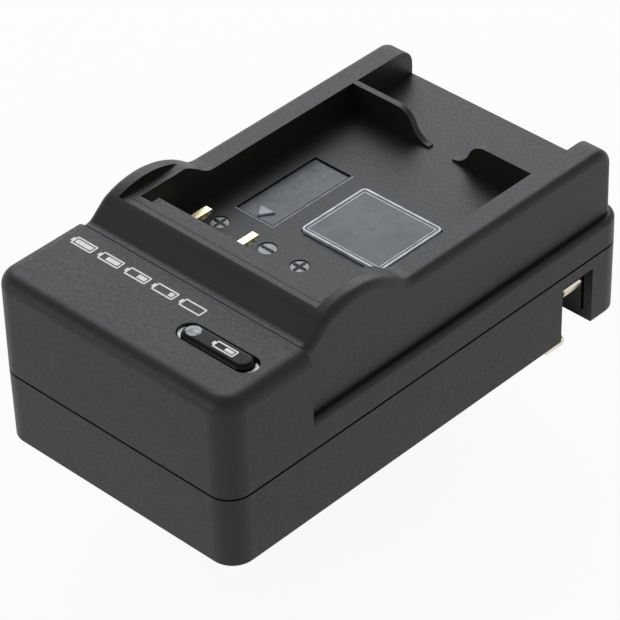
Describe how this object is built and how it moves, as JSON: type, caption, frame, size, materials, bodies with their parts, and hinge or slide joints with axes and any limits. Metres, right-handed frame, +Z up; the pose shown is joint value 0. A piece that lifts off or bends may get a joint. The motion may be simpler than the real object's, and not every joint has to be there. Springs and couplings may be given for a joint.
{
  "type": "battery charger",
  "caption": "Travel charger for a flat camera battery: rounded black case, raised cradle with gilt contacts and a rear rib, indicator bar, and a folding plug under the back.",
  "frame": {"origin": "centre of the case's flat underside", "axes": "+Z up, +Y from the indicator console towards the plug end, +X to the side with the plug notch"},
  "size_m": [0.046, 0.0822, 0.0381],
  "materials": {
    "case_plastic": "finely textured black moulding",
    "cradle_plastic": "finely textured black moulding",
    "gloss_black": "polished black",
    "label_gloss": "polished black, bare",
    "milky_guide": "milky translucent",
    "clear_lens": "clear",
    "gilt": "gilt",
    "nickel": "nickel-plated brass",
    "steel": "zinc-plated",
    "board_green": "solder mask",
    "ferrite": "sintered",
    "winding_tape": "tape-wrapped",
    "can_sleeve": "sleeved",
    "chip_black": "moulded",
    "resistor_body": "lacquered"
  },
  "bodies": {
    "case": {"bottom_case": "case_plastic", "top_case": "case_plastic", "battery_plate": "cradle_plastic", "label_insert": "label_gloss", "light_guide": "milky_guide", "indicator_bar": "gloss_black", "led_lens": "clear_lens", "indicator_led": "milky_guide", "main_board": "board_green", "transformer_core": "ferrite", "transformer_coil": "winding_tape", "input_capacitor": "can_sleeve", "output_capacitor": "can_sleeve", "bridge_rectifier": "chip_black", "control_chip": "chip_black", "fuse_resistor": "resistor_body", "spring_pin_plus": "gilt", "spring_pin_minus": "gilt", "contact_board": "board_green", "contact_plus": "gilt", "contact_minus": "gilt", "front_trunnion": "nickel", "rear_trunnion": "nickel", "front_lead_strip": "nickel", "rear_lead_strip": "nickel", "case_screws": "steel"},
    "plug": {"plug_barrel": "case_plastic", "upper_blade": "nickel", "lower_blade": "nickel"}
  },
  "joints": [
    {"name": "plug_fold", "type": "hinge", "parent": "case", "child": "plug", "pos_m": [-0.0048, 0.0307, 0.00735], "axis": [0, 1, 0], "range_deg": [-13.5, 76.5]}
  ]
}
